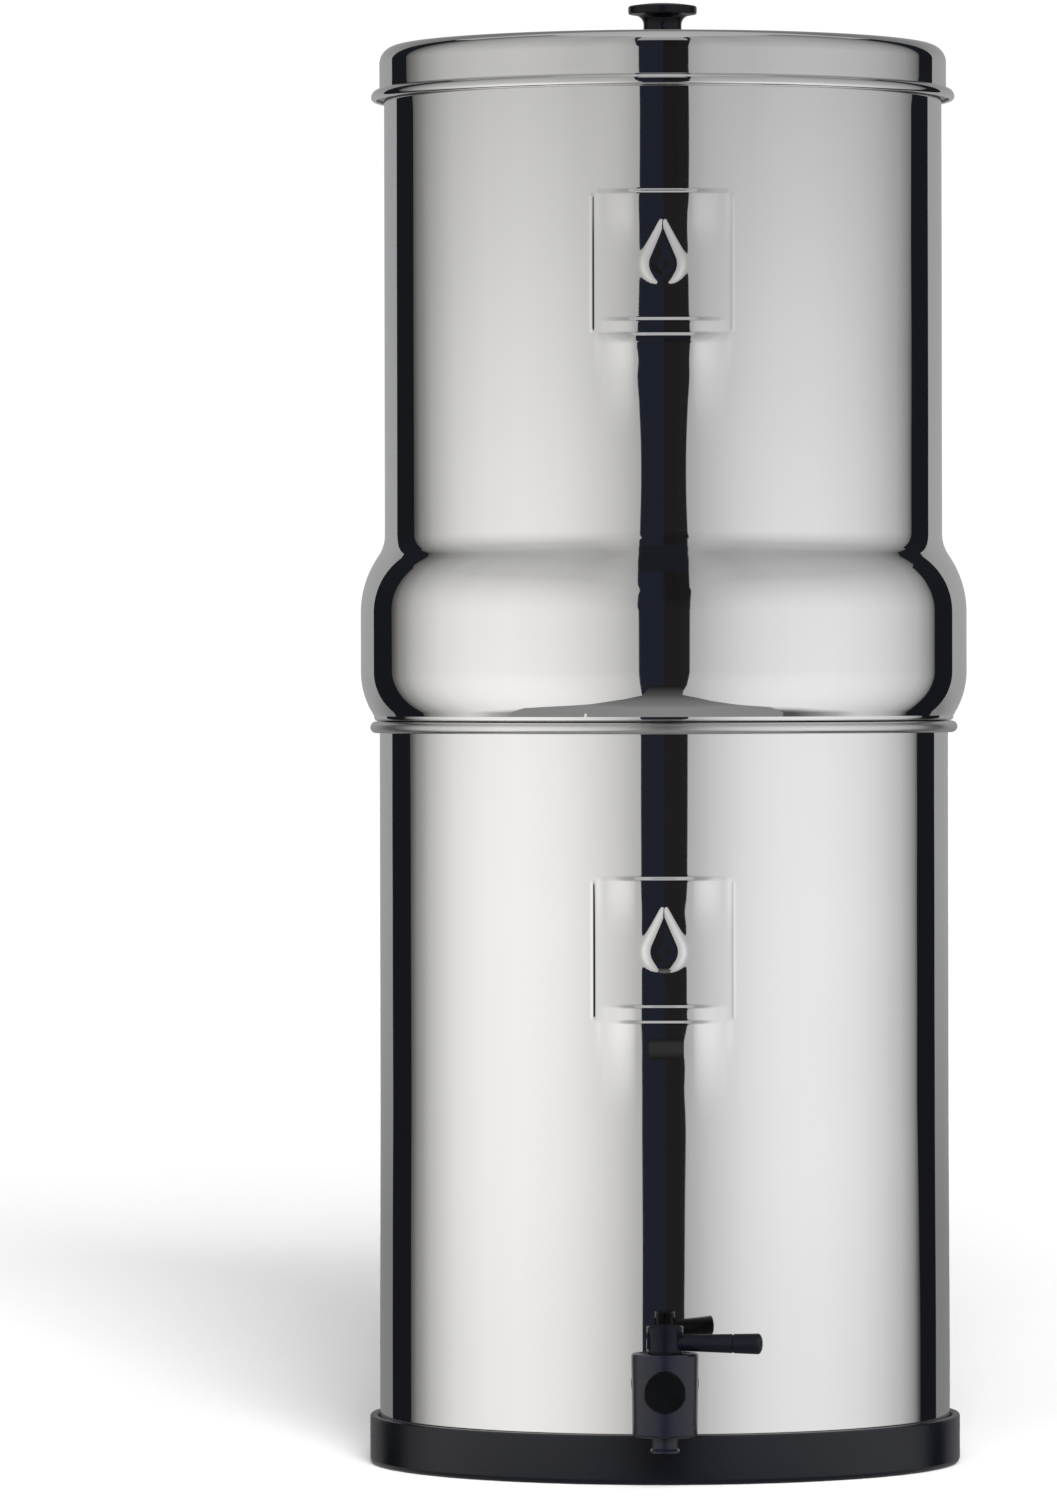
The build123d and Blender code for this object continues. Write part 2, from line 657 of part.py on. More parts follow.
with BuildPart() as tap_lever:
    # collar, wider at its top
    with BuildSketch(tap_plane):
        Polygon(
            (0, COLLAR_FOOT_Z),
            (6.3, COLLAR_FOOT_Z),
            (6.35, COLLAR_FOOT_Z + 4.0),
            (6.75, COLLAR_TOP_Z - 0.6),
            (6.25, COLLAR_TOP_Z),
            (0, COLLAR_TOP_Z),
            align=None,
        )
    revolve(axis=tap_axis)
    # handle: a round rod that widens to its end, with a shallow groove round it
    handle_dir = (math.cos(math.radians(LEVER_ANGLE)), math.sin(math.radians(LEVER_ANGLE)), 0)
    slope = (LEVER_END_R - LEVER_ROOT_R) / LEVER_REACH
    with BuildSketch(
        Plane(
            origin=(0, -TAP_AXIS, LEVER_Z),
            x_dir=handle_dir,
            z_dir=(handle_dir[1], -handle_dir[0], 0),
        )
    ):
        with BuildLine():
            Polyline(
                (0, 0),
                (0, LEVER_ROOT_R),
                (24.9, LEVER_ROOT_R + slope * 24.9),
                (25.2, LEVER_ROOT_R + slope * 25.2 - 0.28),
                (25.6, LEVER_ROOT_R + slope * 25.6 - 0.28),
                (25.9, LEVER_ROOT_R + slope * 25.9),
                (LEVER_REACH - 1.5, LEVER_ROOT_R + slope * (LEVER_REACH - 1.5)),
                (LEVER_REACH - 0.9, LEVER_END_R - 0.4),
                (LEVER_REACH - 0.35, LEVER_END_R * 0.62),
                (LEVER_REACH, 0),
                close=True,
            )
        make_face()
    revolve(axis=Axis((0, -TAP_AXIS, LEVER_Z), handle_dir))
    # socket for the stem and its flats
    with BuildSketch(Plane.XY.offset(COLLAR_FOOT_Z - 1)):
        with Locations((0, -TAP_AXIS)):
            Circle(TAP_STEM_R + 0.03)
    extrude(amount=STEM_TOP_Z - COLLAR_FOOT_Z + 1.3, mode=Mode.SUBTRACT)
    with BuildSketch(Plane.XY.offset(BARREL_TOP_Z + 1.5)):
        with Locations((4.9, -TAP_AXIS), (-4.9, -TAP_AXIS)):
            Rectangle(3.2, 6.4)
    extrude(amount=STEM_TOP_Z - BARREL_TOP_Z - 0.6)
tap_lever.part.label = "tap_lever"

# ---------------------------------------------------------------- export
finished = [
    base_ring.part,
    lower_chamber.part,
    upper_chamber.part,
    lid.part,
    lid_knob.part,
    knob_washer.part,
    knob_screw.part,
    candle_washers.part,
    wing_nuts.part,
    tap_body.part,
    tap_front_cap.part,
    tap_outer_washer.part,
    tap_inner_washer.part,
    tap_lock_nut.part,
    tap_bonnet.part,
    tap_valve_plug.part,
    tap_o_rings.part,
    tap_lever.part,
    *candle_shells,
    *candle_cores,
    *candle_bases,
]
for piece in finished:
    export_step(piece, f"parts/{piece.label}.step")
print("pieces:", len(finished))
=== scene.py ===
import math

import bpy
import numpy as np
from mathutils import Euler, Matrix, Vector
from mathutils.geometry import delaunay_2d_cdt


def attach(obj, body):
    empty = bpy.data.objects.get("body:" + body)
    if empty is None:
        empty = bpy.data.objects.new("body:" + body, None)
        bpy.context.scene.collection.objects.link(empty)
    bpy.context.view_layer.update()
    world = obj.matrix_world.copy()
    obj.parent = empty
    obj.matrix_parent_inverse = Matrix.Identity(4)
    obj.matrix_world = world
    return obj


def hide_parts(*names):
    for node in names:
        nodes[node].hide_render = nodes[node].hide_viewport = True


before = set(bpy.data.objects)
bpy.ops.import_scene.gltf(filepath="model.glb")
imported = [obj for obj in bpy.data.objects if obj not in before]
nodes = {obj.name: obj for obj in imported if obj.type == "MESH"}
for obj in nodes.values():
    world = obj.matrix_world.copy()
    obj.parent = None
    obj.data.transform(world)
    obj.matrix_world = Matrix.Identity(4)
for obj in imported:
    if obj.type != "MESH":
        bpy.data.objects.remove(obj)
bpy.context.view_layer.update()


MM = 0.001
SHEET = 0.8  # steel sheet, mm

# ------------------------------------------------------------------ camera
cam_data = bpy.data.cameras.new("camera")
cam = bpy.data.objects.new("camera", cam_data)
bpy.context.scene.collection.objects.link(cam)
cam_data.sensor_width = 36.0
cam_data.sensor_fit = "AUTO"
cam_data.lens = 237.1
cam_data.clip_start = 0.1
cam_data.clip_end = 200.0
cam.location = (0.0, -3.75, 0.3025)
turn = Euler((math.radians(90 - 0.493), 0, math.radians(0.7846)), "XYZ").to_matrix()
roll = Matrix.Rotation(math.radians(-0.11), 3, "Z")
cam.rotation_euler = (turn @ roll).to_euler("XYZ")
bpy.context.scene.camera = cam

scene = bpy.context.scene
scene.view_settings.view_transform = "Standard"
scene.view_settings.look = "None"
scene.view_settings.exposure = 0.0
scene.view_settings.gamma = 1.0


# ------------------------------------------------------------------ node helpers
class Graph:
    """A material's node tree, with short calls for the nodes used below."""

    def __init__(self, name):
        self.mat = bpy.data.materials.new(name)
        self.mat.use_nodes = True
        self.tree = self.mat.node_tree
        self.tree.nodes.clear()
        self.out = self.tree.nodes.new("ShaderNodeOutputMaterial")

    def node(self, kind, **props):
        n = self.tree.nodes.new(kind)
        for k, v in props.items():
            setattr(n, k, v)
        return n

    def put(self, socket, value):
        if isinstance(value, bpy.types.NodeSocket):
            self.tree.links.new(value, socket)
        else:
            socket.default_value = value

    def math(self, op, a, b=0.0, c=0.0, clamp=False):
        n = self.node("ShaderNodeMath", operation=op, use_clamp=clamp)
        self.put(n.inputs[0], a)
        self.put(n.inputs[1], b)
        if len(n.inputs) > 2:
            self.put(n.inputs[2], c)
        return n.outputs[0]

    def position(self):
        """Object-space position in metres, split."""
        tc = self.node("ShaderNodeTexCoord")
        sep = self.node("ShaderNodeSeparateXYZ")
        self.put(sep.inputs[0], tc.outputs["Object"])
        return tc.outputs["Object"], sep.outputs[0], sep.outputs[1], sep.outputs[2]

    def combine(self, x, y, z):
        n = self.node("ShaderNodeCombineXYZ")
        for s, v in zip(n.inputs, (x, y, z)):
            self.put(s, v)
        return n.outputs[0]

    def noise(self, vector, scale, detail=2.0, rough=0.5):
        n = self.node("ShaderNodeTexNoise")
        self.put(n.inputs["Vector"], vector)
        n.inputs["Scale"].default_value = scale
        n.inputs["Detail"].default_value = detail
        n.inputs["Roughness"].default_value = rough
        return n.outputs[0]

    def range(self, value, a, b, c, d, smooth=False):
        n = self.node("ShaderNodeMapRange")
        if smooth:
            n.interpolation_type = "SMOOTHSTEP"
        self.put(n.inputs["Value"], value)
        for key, v in zip(("From Min", "From Max", "To Min", "To Max"), (a, b, c, d)):
            n.inputs[key].default_value = v
        return n.outputs[0]

    def ramp(self, value, stops, interpolation="LINEAR"):
        n = self.node("ShaderNodeValToRGB")
        n.color_ramp.interpolation = interpolation
        while len(n.color_ramp.elements) < len(stops):
            n.color_ramp.elements.new(0.5)
        for e, (p, c) in zip(n.color_ramp.elements, stops):
            e.position = p
            e.color = (*c, 1.0)
        self.put(n.inputs[0], value)
        return n.outputs[0]

    def mix(self, factor, a, b, blend="MIX"):
        n = self.node("ShaderNodeMix", data_type="RGBA", blend_type=blend)
        self.put(n.inputs[0], factor)
        for s, v in ((n.inputs[6], a), (n.inputs[7], b)):
            self.put(s, (*v, 1.0) if isinstance(v, tuple) else v)
        return n.outputs[2]

    def bump(self, height, strength, distance, normal=None):
        n = self.node("ShaderNodeBump")
        n.inputs["Strength"].default_value = strength
        n.inputs["Distance"].default_value = distance
        self.put(n.inputs["Height"], height)
        if normal is not None:
            self.put(n.inputs["Normal"], normal)
        return n.outputs[0]

    def shader(self, **values):
        n = self.node("ShaderNodeBsdfPrincipled")
        for key, v in values.items():
            self.put(n.inputs[key.replace("_", " ")], v)
        self.tree.links.new(n.outputs[0], self.out.inputs[0])
        return n


def around(g, x, y, radius):
    """Arc length round the vertical axis, in metres."""
    return g.math("MULTIPLY", g.math("ARCTAN2", x, g.math("MULTIPLY", y, -1.0)), radius)


# ------------------------------------------------------------------ materials
def mirror_steel():
    g = Graph("mirror_polished_steel")
    obj, x, y, z = g.position()
    # faint buffing marks run round the vessel, and a soft bloom varies the polish
    bands = g.noise(g.combine(g.math("MULTIPLY", x, 3.0), g.math("MULTIPLY", y, 3.0), g.math("MULTIPLY", z, 260.0)), 5.0, 3.0)
    bloom = g.noise(obj, 14.0, 2.0)
    rough = g.math("ADD", g.range(bands, 0.3, 0.7, 0.014, 0.030), g.range(bloom, 0.3, 0.75, 0.0, 0.016))
    tone = g.mix(g.range(bloom, 0.35, 0.7, 0.0, 1.0), (0.800, 0.792, 0.780), (0.785, 0.779, 0.770))
    g.shader(Base_Color=tone, Metallic=1.0, Roughness=rough)
    return g.mat


def satin_steel():
    g = Graph("satin_steel_inside")
    obj, x, y, z = g.position()
    lines = g.noise(g.combine(g.math("MULTIPLY", x, 6.0), g.math("MULTIPLY", y, 6.0), g.math("MULTIPLY", z, 900.0)), 4.0, 4.0, 0.6)
    cloud = g.noise(obj, 22.0, 3.0)
    rough = g.math("ADD", g.range(lines, 0.25, 0.75, 0.20, 0.34), g.range(cloud, 0.3, 0.7, 0.0, 0.06))
    tone = g.mix(g.range(cloud, 0.3, 0.7, 0.0, 1.0), (0.74, 0.735, 0.725), (0.66, 0.655, 0.65))
    g.shader(Base_Color=tone, Metallic=1.0, Roughness=rough, Normal=g.bump(lines, 0.25, 0.00004))
    return g.mat


def plated_fastener():
    g = Graph("bright_fastener_steel")
    obj, x, y, z = g.position()
    grain = g.noise(obj, 1800.0, 3.0)
    cloud = g.noise(obj, 260.0, 2.0)
    tone = g.mix(g.range(cloud, 0.3, 0.7, 0.0, 1.0), (0.72, 0.715, 0.70), (0.60, 0.60, 0.59))
    g.shader(Base_Color=tone, Metallic=1.0, Roughness=g.range(grain, 0.3, 0.7, 0.2, 0.34), Normal=g.bump(grain, 0.2, 0.00003))
    return g.mat


def moulded(name, dark, light, rough_low, rough_high, grain_scale, grain_depth, spec=0.5, flow=45.0):
    """Moulded plastic or rubber: fine spark-eroded grain, slight flow variation in tone and sheen."""
    g = Graph(name)
    obj, x, y, z = g.position()
    grain = g.noise(obj, grain_scale, 2.0, 0.6)
    cloud = g.noise(obj, flow, 3.0)
    tone = g.mix(g.range(cloud, 0.3, 0.7, 0.0, 1.0), dark, light)
    rough = g.math("ADD", g.range(cloud, 0.3, 0.7, rough_low, rough_high), g.range(grain, 0.3, 0.7, -0.03, 0.03))
    g.shader(Base_Color=tone, Roughness=rough, Specular_IOR_Level=spec, Normal=g.bump(grain, 0.35, grain_depth))
    return g.mat


def ceramic():
    g = Graph("white_filter_ceramic")
    obj, x, y, z = g.position()
    pores = g.noise(obj, 2400.0, 3.0, 0.65)
    cloud = g.noise(obj, 30.0, 4.0, 0.6)
    tone = g.mix(g.range(cloud, 0.3, 0.7, 0.0, 1.0), (0.86, 0.845, 0.80), (0.80, 0.785, 0.735))
    tone = g.mix(g.range(pores, 0.25, 0.5, 0.35, 0.0), tone, (0.62, 0.60, 0.55))
    g.shader(Base_Color=tone, Roughness=g.range(pores, 0.3, 0.7, 0.82, 0.95), Specular_IOR_Level=0.3, Normal=g.bump(pores, 0.5, 0.00012))
    return g.mat


def carbon():
    g = Graph("carbon_block")
    obj, x, y, z = g.position()
    grit = g.noise(obj, 1500.0, 4.0, 0.7)
    g.shader(Base_Color=g.mix(grit, (0.012, 0.012, 0.013), (0.05, 0.05, 0.052)), Roughness=g.range(grit, 0.3, 0.7, 0.7, 0.95), Normal=g.bump(grit, 0.8, 0.0003))
    return g.mat


STEEL = mirror_steel()
STEEL_IN = satin_steel()
FASTENER = plated_fastener()
TAP_BLACK = moulded("tap_satin_black", (0.0022, 0.0024, 0.0054), (0.0032, 0.0034, 0.0066), 0.24, 0.31, 2600.0, 0.00003, 0.40)
LEVER_BLACK = moulded("lever_satin_black", (0.0012, 0.0016, 0.0032), (0.0018, 0.0022, 0.0040), 0.26, 0.33, 2600.0, 0.00003, 0.19)
CAP_BLACK = moulded("cap_gloss_black", (0.0008, 0.0009, 0.0011), (0.0012, 0.0013, 0.0015), 0.16, 0.22, 2600.0, 0.00002, 0.35)
KNOB_BLACK = moulded("knob_black", (0.0010, 0.0010, 0.0018), (0.0014, 0.0014, 0.0023), 0.20, 0.27, 2600.0, 0.00002, 0.29)
RING_BLACK = moulded("base_ring_black_rubber", (0.0008, 0.0010, 0.0022), (0.0012, 0.0015, 0.0028), 0.21, 0.28, 1900.0, 0.00003, 0.36)
NUT_BLACK = moulded("nut_black_nylon", (0.010, 0.010, 0.011), (0.016, 0.016, 0.017), 0.42, 0.52, 2200.0, 0.00004)
WASHER_BLACK = moulded("washer_black_rubber", (0.006, 0.006, 0.006), (0.010, 0.010, 0.010), 0.62, 0.74, 1600.0, 0.00006, 0.35)
SEAL = moulded("seal_rubber", (0.30, 0.30, 0.29), (0.36, 0.36, 0.35), 0.50, 0.62, 1600.0, 0.00005, 0.4)
PALE = moulded("pale_plastic", (0.74, 0.73, 0.69), (0.79, 0.78, 0.75), 0.34, 0.44, 2000.0, 0.00004)
CERAMIC = ceramic()
CARBON = carbon()


# ------------------------------------------------------------------ lathe work
def sheet_path(points, radii, spacing, arc_step=5.0):
    """Samples along a polyline with rounded corners, in mm: rows of (r, z, tangent r, tangent z).
    spacing(r, z) is the wanted step on straight runs, arc_step the most degrees per step on bends."""
    pts = [np.array(p, float) for p in points]
    rows = []
    here = pts[0]
    for i in range(1, len(pts)):
        last = i == len(pts) - 1
        a = pts[i] - pts[i - 1]
        a = a / np.linalg.norm(a)
        if last:
            stop, bend = pts[i], None
        else:
            b = pts[i + 1] - pts[i]
            b = b / np.linalg.norm(b)
            angle = math.atan2(a[0] * b[1] - a[1] * b[0], float(a @ b))
            cut = radii[i - 1] * math.tan(abs(angle) / 2)
            stop = pts[i] - a * cut
            bend = (angle, radii[i - 1])
        length = float((stop - here) @ a)
        at = 0.0
        while at < length - 1e-9:
            p = here + a * at
            rows.append((*p, *a))
            at += min(spacing(*p), max(length - at, 1e-6))
            if length - at < 0.35 * spacing(*p):
                break
        if bend is None:
            rows.append((*stop, *a))
            break
        angle, radius = bend
        side = 1.0 if angle > 0 else -1.0
        n = np.array([-a[1], a[0]]) * side
        centre = stop + n * radius
        steps = max(2, math.ceil(abs(math.degrees(angle)) / arc_step), math.ceil(abs(angle) * radius / spacing(*stop)))
        for k in range(steps):
            t = angle * k / steps
            c, s = math.cos(t), math.sin(t)
            d = stop - centre
            p = centre + np.array([c * d[0] - s * d[1], s * d[0] + c * d[1]])
            rows.append((*p, c * a[0] - s * a[1], s * a[0] + c * a[1]))
        c, s = math.cos(angle), math.sin(angle)
        d = stop - centre
        here = centre + np.array([c * d[0] - s * d[1], s * d[0] + c * d[1]])
    return np.array(rows)


def add_curl(rows, radius, sweep, step=9.0):
    """Continues a path with an arc that turns to the right, as a rolled edge."""
    r, z, tr, tz = rows[-1]
    centre = np.array([r, z]) + np.array([tz, -tr]) * radius
    out = [rows]
    n = math.ceil(sweep / step)
    for k in range(1, n + 1):
        t = -math.radians(sweep * k / n)
        c, s = math.cos(t), math.sin(t)
        d = np.array([r, z]) - centre
        p = centre + np.array([c * d[0] - s * d[1], s * d[0] + c * d[1]])
        out.append(np.array([[*p, c * tr - s * tz, s * tr + c * tz]]))
    return np.concatenate(out)


def columns(fine_half, fine_step, coarse_step):
    """Angles round the vessel in degrees from the front, finer inside fine_half."""
    fine = list(np.arange(-fine_half, fine_half - fine_step / 2, fine_step))
    rest, at = [], fine_half
    step = fine_step
    while at < 180:
        rest.append(at)
        step = min(step * 1.35, coarse_step)
        at += step
    other = [360 - a for a in rest[1:]][::-1]
    gap = other[0] - rest[-1] if other else 0
    if gap < 0.4 * coarse_step and other:
        other = other[1:]
    return np.radians(np.array(fine + rest + other))


class Mesh:
    """Vertices, faces, face materials and a normal for every face corner. Lengths in mm."""

    def __init__(self):
        self.v, self.f, self.n, self.m = [], [], [], []

    def add(self, points):
        start = len(self.v)
        self.v.extend(np.asarray(points, float).reshape(-1, 3).tolist())
        return start

    def face(self, index, normals, material=0):
        a, b, c = (np.array(self.v[index[k]]) for k in (0, 1, 2))
        way = np.cross(b - a, c - a)
        if len(index) > 3:
            way = way + np.cross(c - a, np.array(self.v[index[3]]) - a)
        if float(way @ np.mean(np.asarray(normals, float), axis=0)) < 0:
            index, normals = list(index)[::-1], list(normals)[::-1]
        self.f.append(list(index))
        self.n.append([list(map(float, q)) for q in normals])
        self.m.append(material)

    def build(self, name, materials):
        mesh = bpy.data.meshes.new(name)
        co = np.array(self.v) * MM
        mesh.from_pydata(co.tolist(), [], self.f)
        for m in materials:
            mesh.materials.append(m)
        mesh.polygons.foreach_set("material_index", self.m)
        mesh.polygons.foreach_set("use_smooth", [True] * len(self.f))
        mesh.normals_split_custom_set([q for face in self.n for q in face])
        mesh.update()
        obj = bpy.data.objects.new(name, mesh)
        scene.collection.objects.link(obj)
        return obj


def revolve(mesh, rows, phis, dent=None, flip=1.0, material=0, skip=None, sheet=0.0):
    """Adds rows of (r, z, tangent r, tangent z) turned round the axis. The surface normal is to the right of the path,
    or to its left with flip -1. sheet shifts the rows along the normal. dent(u, z) presses the surface outward.
    Returns the index grid, points and normals."""
    rows = np.asarray(rows, float)
    r, z, tr, tz = rows.T
    nr, nz = tz * flip, -tr * flip
    r, z = r + nr * sheet, z + nz * sheet
    phi = phis[None, :]
    R, Z = r[:, None] + 0 * phi, z[:, None] + 0 * phi
    NR, NZ = nr[:, None] + 0 * phi, nz[:, None] + 0 * phi
    radial = np.stack([np.sin(phi) + 0 * R, -np.cos(phi) + 0 * R, 0 * R], -1)
    tangent = np.stack([np.cos(phi) + 0 * R, np.sin(phi) + 0 * R, 0 * R], -1)
    up = np.array([0.0, 0.0, 1.0])
    P = radial * R[..., None] + up * Z[..., None]
    N = radial * NR[..., None] + up * NZ[..., None]
    if dent is not None:
        wrapped = np.where(phi > math.pi, phi - 2 * math.pi, phi) + 0 * R
        e = 0.02
        h = dent(wrapped * R, Z)
        hu = (dent(wrapped * R + e, Z) - dent(wrapped * R - e, Z)) / (2 * e)
        hz = (dent(wrapped * R, Z + e) - dent(wrapped * R, Z - e)) / (2 * e)
        sign = np.sign(NR) if flip else 1.0
        P = P + radial * h[..., None]
        along = radial * tr[:, None, None] + up * tz[:, None, None]
        N = N - sign[..., None] * (tangent * hu[..., None] + along * (hz * tz[:, None])[..., None])
        N = N / np.linalg.norm(N, axis=-1, keepdims=True)
    nrow, ncol = R.shape
    start = mesh.add(P)
    grid = start + np.arange(nrow * ncol).reshape(nrow, ncol)
    for i in range(nrow - 1):
        for j in range(ncol):
            if skip is not None and skip(i, j):
                continue
            k = (j + 1) % ncol
            quad = ((i, j), (i, k), (i + 1, k), (i + 1, j))
            mesh.face([int(grid[q]) for q in quad], [N[q] for q in quad], material)
    return grid, P, N


def bridge(mesh, ring_a, ring_b, normals_a, normals_b, material=0):
    n = len(ring_a)
    for j in range(n):
        k = (j + 1) % n
        mesh.face([int(ring_a[j]), int(ring_a[k]), int(ring_b[k]), int(ring_b[j])], [normals_a[j], normals_a[k], normals_b[k], normals_b[j]], material)


def disc(mesh, ring, ring_xy, z, up, holes, material):
    """Fills a flat ring of vertices, leaving round holes. Returns the index loops of the holes' edges."""
    loops, xy, edges = [], [tuple(p) for p in ring_xy], []
    n = len(ring)
    edges += [(j, (j + 1) % n) for j in range(n)]
    index = [int(i) for i in ring]
    for cx, cy, radius in holes:
        k = 40
        first = len(xy)
        pts = [(cx + radius * math.cos(2 * math.pi * t / k), cy + radius * math.sin(2 * math.pi * t / k)) for t in range(k)]
        xy += pts
        edges += [(first + t, first + (t + 1) % k) for t in range(k)]
        start = mesh.add([(px, py, z) for px, py in pts])
        index += list(range(start, start + k))
        loops.append(list(range(start, start + k)))
    out_v, _, out_f, orig_v, _, _ = delaunay_2d_cdt([Vector(p) for p in xy], edges, [], 0, 1e-7)
    normal = (0.0, 0.0, 1.0 if up else -1.0)
    limit = max(math.hypot(*p) for p in ring_xy)
    for tri in out_f:
        c = sum((out_v[i] for i in tri), Vector((0, 0))) / 3
        if any((c.x - cx) ** 2 + (c.y - cy) ** 2 < (radius * 0.999) ** 2 for cx, cy, radius in holes) or c.length > limit:
            continue
        ids = [index[orig_v[i][0]] for i in tri]
        mesh.face(ids, [normal] * 3, material)
    return loops


# ------------------------------------------------------------------ pressed panels
def bell(d, width):
    return np.exp(-0.5 * (d / width) ** 2)


def segment(d_across, along, low, high, soft=0.8):
    """1 between low and high, fading over soft, for a ridge that ends."""
    return 1 / (1 + np.exp(-(along - low) / soft * 3)) * 1 / (1 + np.exp((along - high) / soft * 3))


def drop_distance(u, v):
    """Signed distance to a plain upright drop: round below, drawn to a point above."""
    r1, r2, height = 7.4, 0.5, 15.6
    px, py = np.abs(u), v + 1.0
    b = (r1 - r2) / height
    a = math.sqrt(1 - b * b)
    k = -b * px + a * py
    inside = np.hypot(px, py) - r1
    tip = np.hypot(px, py - height) - r2
    side = px * a + py * b - r1
    return np.where(k < 0, inside, np.where(k > a * height, tip, side))


def ridge(d, slope, half, fade, width):
    """Height of a low ridge round d = 0: its upper side falls at the slope, its lower one fades slowly."""
    t = 0.13
    up = slope * t * (np.logaddexp(0.0, (half - d) / t) - np.logaddexp(0.0, (-half - d) / t))
    return up * 0.5 * (1 + np.tanh((d + fade) / width))


def pressed_panel(u, v):
    """Height of the pressed panel at (u, v) mm from its centre: square frame, lower rib, drop."""
    half_w, top, bottom, rib = 25.9, 26.0, -26.9, -21.2
    out = np.clip((np.abs(u) - 10.2) / 11.5, 0.0, 1.0)
    deep = 0.90 - 0.74 * out * out * (3 - 2 * out)
    h = ridge(v - top, deep, 0.86, 12.0, 7.0) * segment(0, u, -half_w + 1.5, half_w - 1.5, 1.6)
    h = h + ridge(v - bottom, deep, 0.74, 9.0, 6.0) * segment(0, u, -half_w + 1.5, half_w - 1.5, 1.6)
    h = h + ridge(v - rib, deep, 0.70, 30.0, 9.0) * segment(0, u, -half_w + 4.0, half_w - 4.0, 2.2)
    h = h + 0.24 * bell(u + half_w + 0.6, 0.40) * segment(0, v, bottom + 1.2, top - 1.2)
    h = h + 0.11 * bell(u - half_w, 0.40) * segment(0, v, bottom + 1.2, top - 1.2)
    d = drop_distance(u, v)
    h = h + 0.40 * 0.5 * (1 - np.tanh(d / 0.85)) + 0.14 * bell(d + 2.6, 1.1)
    return h


def ripple(u, z, seed):
    """The slow waviness of drawn, hand-polished sheet."""
    total = 0.0
    for k in range(7):
        a = math.sin(seed * 12.9898 + k * 78.233) * 43758.5453
        a = a - math.floor(a)
        b = math.sin(seed * 39.346 + k * 11.135) * 24634.6345
        b = b - math.floor(b)
        n = 3 + 2 * k
        total = total + 0.010 / (1 + 0.35 * k) * np.sin(n * u / 106.0 + 2 * math.pi * a) * np.sin(z * (0.022 + 0.011 * k) + 2 * math.pi * b)
    return total


def panel_dent(height, seed, swell):
    def dent(u, z):
        h = pressed_panel(u, z - height)
        for cz, depth, tall in swell:
            h = h + depth * bell(u, 11.0) * bell(z - cz, tall)
        return h + ripple(u, z, seed) - 0.02
    return dent


# ------------------------------------------------------------------ vessels
def fine_near(centre, half, fine, coarse, ridges=None):
    def spacing(r, z):
        if ridges is not None and min(abs(z - centre - v) for v in (26.0, -21.2, -26.9)) < 1.5:
            return ridges
        return fine if abs(z - centre) < half else coarse
    return spacing


